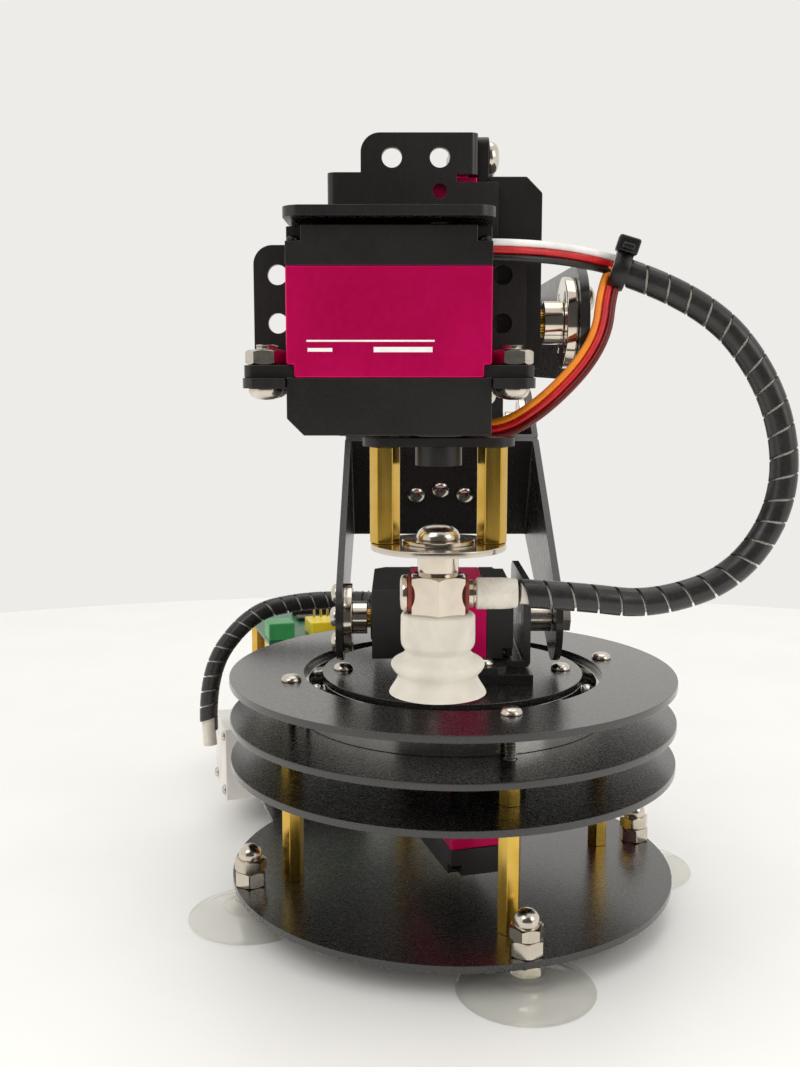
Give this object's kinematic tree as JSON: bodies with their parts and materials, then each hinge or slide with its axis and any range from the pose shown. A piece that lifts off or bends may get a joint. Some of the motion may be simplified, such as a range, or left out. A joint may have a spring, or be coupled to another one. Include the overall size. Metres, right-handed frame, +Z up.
{
  "type": "desktop robot arm",
  "caption": "Desktop robot arm on a round stacked-plate base with suction feet: servo joints in folded black brackets, long forearm and a bellows vacuum cup at the wrist.",
  "frame": {"origin": "on the turntable's axis, at the table under the suction feet", "axes": "+Z up, the forearm reaches along -Y, +X to the right seen from the tool's side"},
  "size_m": [0.1618, 0.2706, 0.2053],
  "materials": {
    "black_plate": "matt black powder coat on aluminium sheet",
    "brass": "turned and milled brass",
    "bright_steel": "nickel plated screws and nuts",
    "bearing_steel": "ground bearing steel",
    "servo_plastic": "black moulded nylon",
    "magenta_case": "magenta anodised aluminium",
    "horn_metal": "machined aluminium",
    "clear_vinyl": "clear soft vinyl",
    "white_plastic": "white moulded plastic",
    "board_green": "solder mask on glass laminate",
    "terminal_green": "green moulded plastic",
    "socket_yellow": "yellow moulded plastic",
    "plated_steel": "nickel plated brass",
    "red_fibre": "red vulcanised fibre",
    "frosted_tube": "milky silicone tube",
    "frosted_silicone": "frosted silicone",
    "loom_black": "black spiral wrap",
    "lead_red": "insulated ribbon lead",
    "lead_orange": "insulated ribbon lead",
    "tie_black": "nylon cable tie"
  },
  "bodies": {
    "base": {"base_plate": "black_plate", "servo_plate": "black_plate", "bearing_plate": "black_plate", "top_plate": "black_plate", "plate_standoffs": "brass", "plate_screws": "bright_steel", "suction_feet": "clear_vinyl", "foot_nuts": "bright_steel", "bearing_outer_ring": "bearing_steel", "bearing_balls": "bearing_steel", "base_servo_covers": "servo_plastic", "base_servo_case": "magenta_case", "pump_head": "white_plastic", "pump_motor": "bearing_steel", "control_board": "board_green", "board_terminal": "terminal_green", "power_socket": "socket_yellow"},
    "turntable": {"turntable_disc": "black_plate", "bearing_inner_ring": "bearing_steel", "base_horn": "horn_metal", "base_shaft": "brass", "riser_plate": "black_plate", "shoulder_bracket": "black_plate", "shoulder_servo_covers": "servo_plastic", "shoulder_servo_case": "magenta_case", "turntable_bolts": "bright_steel", "left_loom": "loom_black"},
    "upper_arm": {"upper_arm_bracket": "black_plate", "elbow_yoke": "black_plate", "shoulder_horn": "horn_metal", "shoulder_shaft": "brass", "elbow_horn": "horn_metal", "elbow_shaft": "brass", "upper_arm_screws": "bright_steel"},
    "forearm": {"forearm_bracket": "black_plate", "elbow_bracket": "black_plate", "elbow_servo_covers": "servo_plastic", "elbow_servo_case": "magenta_case", "forearm_bolts": "bright_steel", "pitch_horn": "horn_metal", "pitch_shaft": "brass"},
    "wrist": {"pitch_bracket": "black_plate", "pitch_servo_covers": "servo_plastic", "pitch_servo_case": "magenta_case", "yaw_bracket": "black_plate", "yaw_servo_covers": "servo_plastic", "yaw_servo_case": "magenta_case", "wrist_bolts": "bright_steel", "white_lead": "lead_red", "orange_lead": "lead_orange", "cable_tie": "tie_black", "vacuum_loom": "loom_black"},
    "tool": {"tool_horn": "servo_plastic", "tool_standoffs": "brass", "tool_plate": "plated_steel", "tool_screw": "bright_steel", "vacuum_fitting": "plated_steel", "fibre_washers": "red_fibre", "hose_stub": "frosted_tube", "suction_cup": "frosted_silicone"}
  },
  "joints": [
    {"name": "base_turn", "type": "hinge", "parent": "base", "child": "turntable", "pos_m": [0, 0, 0.067], "axis": [0, 0, 1], "range_deg": [-90, 90], "deforming": ["left_loom"]},
    {"name": "shoulder", "type": "hinge", "parent": "turntable", "child": "upper_arm", "pos_m": [0, 0, 0.0845], "axis": [1, 0, 0], "range_deg": [-8, 30], "deforming": ["left_loom"]},
    {"name": "elbow", "type": "hinge", "parent": "upper_arm", "child": "forearm", "pos_m": [0, 0.08526, 0.13675], "axis": [1, 0, 0], "range_deg": [-60, 5]},
    {"name": "wrist_pitch", "type": "hinge", "parent": "forearm", "child": "wrist", "pos_m": [0, -0.07474, 0.16675], "axis": [1, 0, 0], "range_deg": [-60, 5]},
    {"name": "tool_turn", "type": "hinge", "parent": "wrist", "child": "tool", "pos_m": [-0.0074, -0.09974, 0.14375], "axis": [0, 0, 1], "range_deg": [-90, 90], "deforming": ["vacuum_loom"]}
  ]
}
